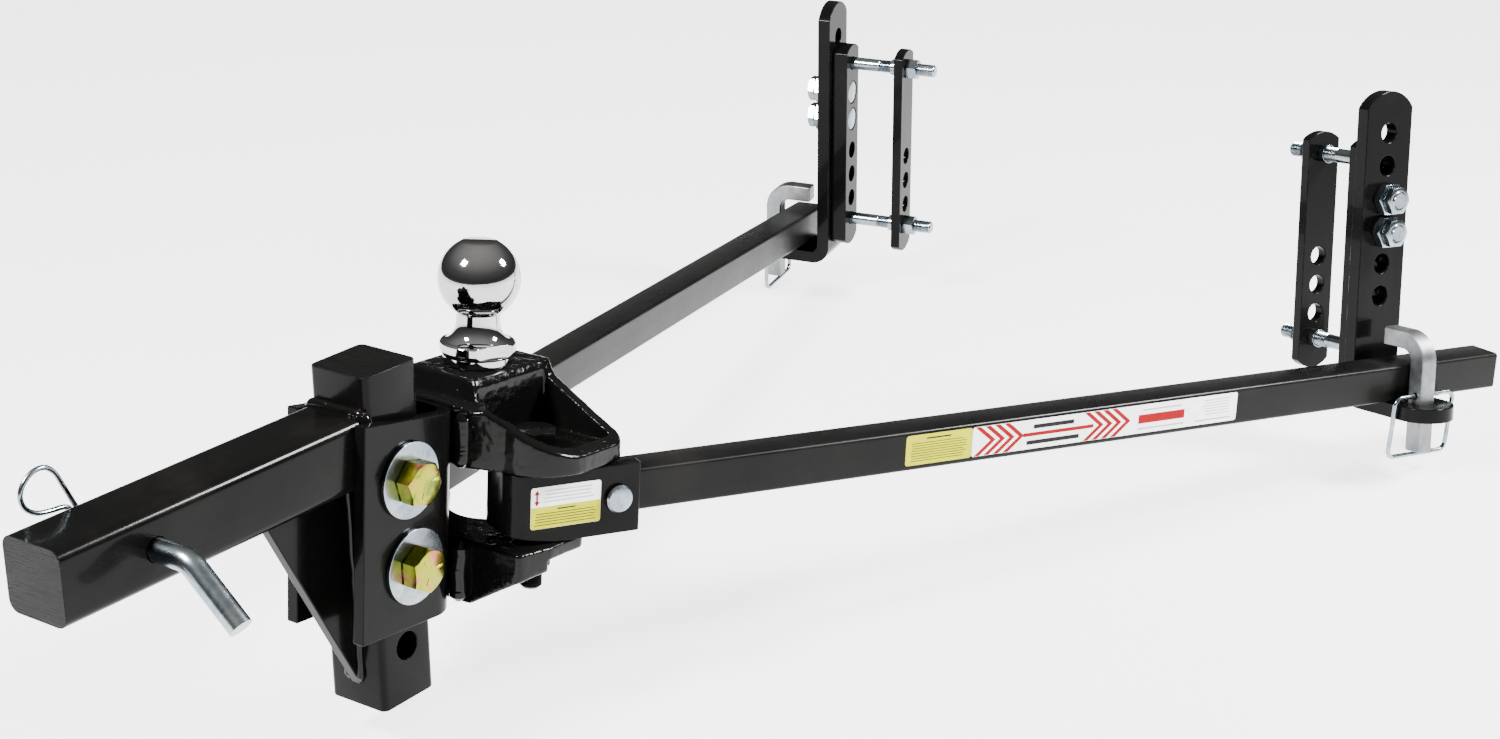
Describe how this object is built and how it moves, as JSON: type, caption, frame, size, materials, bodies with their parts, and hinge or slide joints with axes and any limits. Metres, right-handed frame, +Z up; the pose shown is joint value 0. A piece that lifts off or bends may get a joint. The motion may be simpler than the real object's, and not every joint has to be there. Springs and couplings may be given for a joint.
{
  "type": "weight distribution hitch",
  "caption": "Weight-distributing tow hitch: square shank and drop bar, tilting ball head, swivelling spring arms and link brackets that clamp a trailer frame.",
  "frame": {"origin": "centre of the square shank's front end face, where the tow vehicle's receiver holds it", "axes": "+X rearwards along the shank towards the trailer, +Y towards the left spring arm, +Z up"},
  "size_m": [1.2951, 0.8175, 0.3273],
  "materials": {
    "gloss_black": "gloss black powder coat over steel, cast texture on the head castings",
    "chrome": "polished chrome plate",
    "zinc": "bright zinc plate",
    "yellow_zinc": "yellow chromate zinc plate",
    "galvanised": "satin galvanised forging"
  },
  "bodies": {
    "head_and_shank": {"ball_lock_washer": "zinc", "ball_nut": "zinc", "drop_bar": "gloss_black", "head_channel": "gloss_black", "hitch_ball": "chrome", "left_socket_bolt": "gloss_black", "left_socket_nut": "gloss_black", "lower_head": "gloss_black", "lower_head_bolt": "yellow_zinc", "lower_head_nut": "zinc", "lower_head_washer_far": "zinc", "lower_head_washer_near": "zinc", "right_socket_bolt": "gloss_black", "right_socket_nut": "gloss_black", "shank_bar": "gloss_black", "shank_gusset": "gloss_black", "tilt_spacer": "zinc", "upper_head": "gloss_black", "upper_head_bolt": "yellow_zinc", "upper_head_nut": "zinc", "upper_head_washer_far": "zinc", "upper_head_washer_near": "zinc"},
    "hitch_pin_body": {"hitch_pin": "zinc"},
    "hitch_clip": {"hitch_pin_clip": "zinc"},
    "right_arm": {"right_socket": "gloss_black", "right_spring_arm": "gloss_black", "right_socket_pin": "zinc"},
    "right_bracket": {"right_angle_bolt_lower": "zinc", "right_angle_bolt_upper": "zinc", "right_angle_nut_lower": "zinc", "right_angle_nut_upper": "zinc", "right_bolt_collar_lower": "zinc", "right_bolt_collar_upper": "zinc", "right_frame_bolt_lower": "zinc", "right_frame_bolt_upper": "zinc", "right_frame_nut_lower": "zinc", "right_frame_nut_upper": "zinc", "right_inner_link": "gloss_black", "right_l_bracket": "gloss_black", "right_outer_link": "gloss_black"},
    "right_l_pin_body": {"right_l_pin": "galvanised"},
    "right_bail": {"right_wire_clip": "zinc"},
    "left_arm": {"left_socket": "gloss_black", "left_spring_arm": "gloss_black", "left_socket_pin": "zinc"},
    "left_bracket": {"left_angle_bolt_lower": "zinc", "left_angle_bolt_upper": "zinc", "left_angle_nut_lower": "zinc", "left_angle_nut_upper": "zinc", "left_bolt_collar_lower": "zinc", "left_bolt_collar_upper": "zinc", "left_frame_bolt_lower": "zinc", "left_frame_bolt_upper": "zinc", "left_frame_nut_lower": "zinc", "left_frame_nut_upper": "zinc", "left_inner_link": "gloss_black", "left_l_bracket": "gloss_black", "left_outer_link": "gloss_black"},
    "left_l_pin_body": {"left_l_pin": "galvanised"},
    "left_bail": {"left_wire_clip": "zinc"}
  },
  "joints": [
    {"name": "hitch_pin_turn", "type": "hinge", "parent": "head_and_shank", "child": "hitch_pin_body", "pos_m": [0.0724, 0, 0], "axis": [0, 1, 0], "continuous": true},
    {"name": "hitch_clip_slide", "type": "slide", "parent": "hitch_pin_body", "child": "hitch_clip", "axis": [-0.4311, 0, 0.9023], "range_m": [0, 0.045]},
    {"name": "right_arm_swivel", "type": "hinge", "parent": "head_and_shank", "child": "right_arm", "pos_m": [0.38181, -0.0601, -0.06786], "axis": [0.0976, 0, 0.9952], "range_deg": [-42, 15]},
    {"name": "right_bracket_travel", "type": "slide", "parent": "right_arm", "child": "right_bracket", "axis": [0.9042, -0.4179, -0.0887], "range_m": [-0.22, 0.05]},
    {"name": "right_l_pin_lift", "type": "slide", "parent": "right_bracket", "child": "right_l_pin_body", "axis": [0.1261, 0.0774, 0.989], "range_m": [0, 0.012]},
    {"name": "right_wire_clip_swing", "type": "hinge", "parent": "right_l_pin_body", "child": "right_bail", "pos_m": [1.12831, -0.43472, -0.15023], "axis": [-0.9008, 0.4266, 0.0814], "range_deg": [-8, 120]},
    {"name": "left_arm_swivel", "type": "hinge", "parent": "head_and_shank", "child": "left_arm", "pos_m": [0.38181, 0.0601, -0.06786], "axis": [0.0976, 0, 0.9952], "range_deg": [-7, 48]},
    {"name": "left_bracket_travel", "type": "slide", "parent": "left_arm", "child": "left_bracket", "axis": [0.9613, 0.2588, -0.0943], "range_m": [-0.22, 0.004]},
    {"name": "left_l_pin_lift", "type": "slide", "parent": "left_bracket", "child": "left_l_pin_body", "axis": [-0.0342, -0.0213, 0.9992], "range_m": [0, 0.012]},
    {"name": "left_wire_clip_swing", "type": "hinge", "parent": "left_l_pin_body", "child": "left_bail", "pos_m": [1.24626, 0.32125, -0.16642], "axis": [0.9748, 0.2197, 0.038], "range_deg": [-8, 120]}
  ]
}
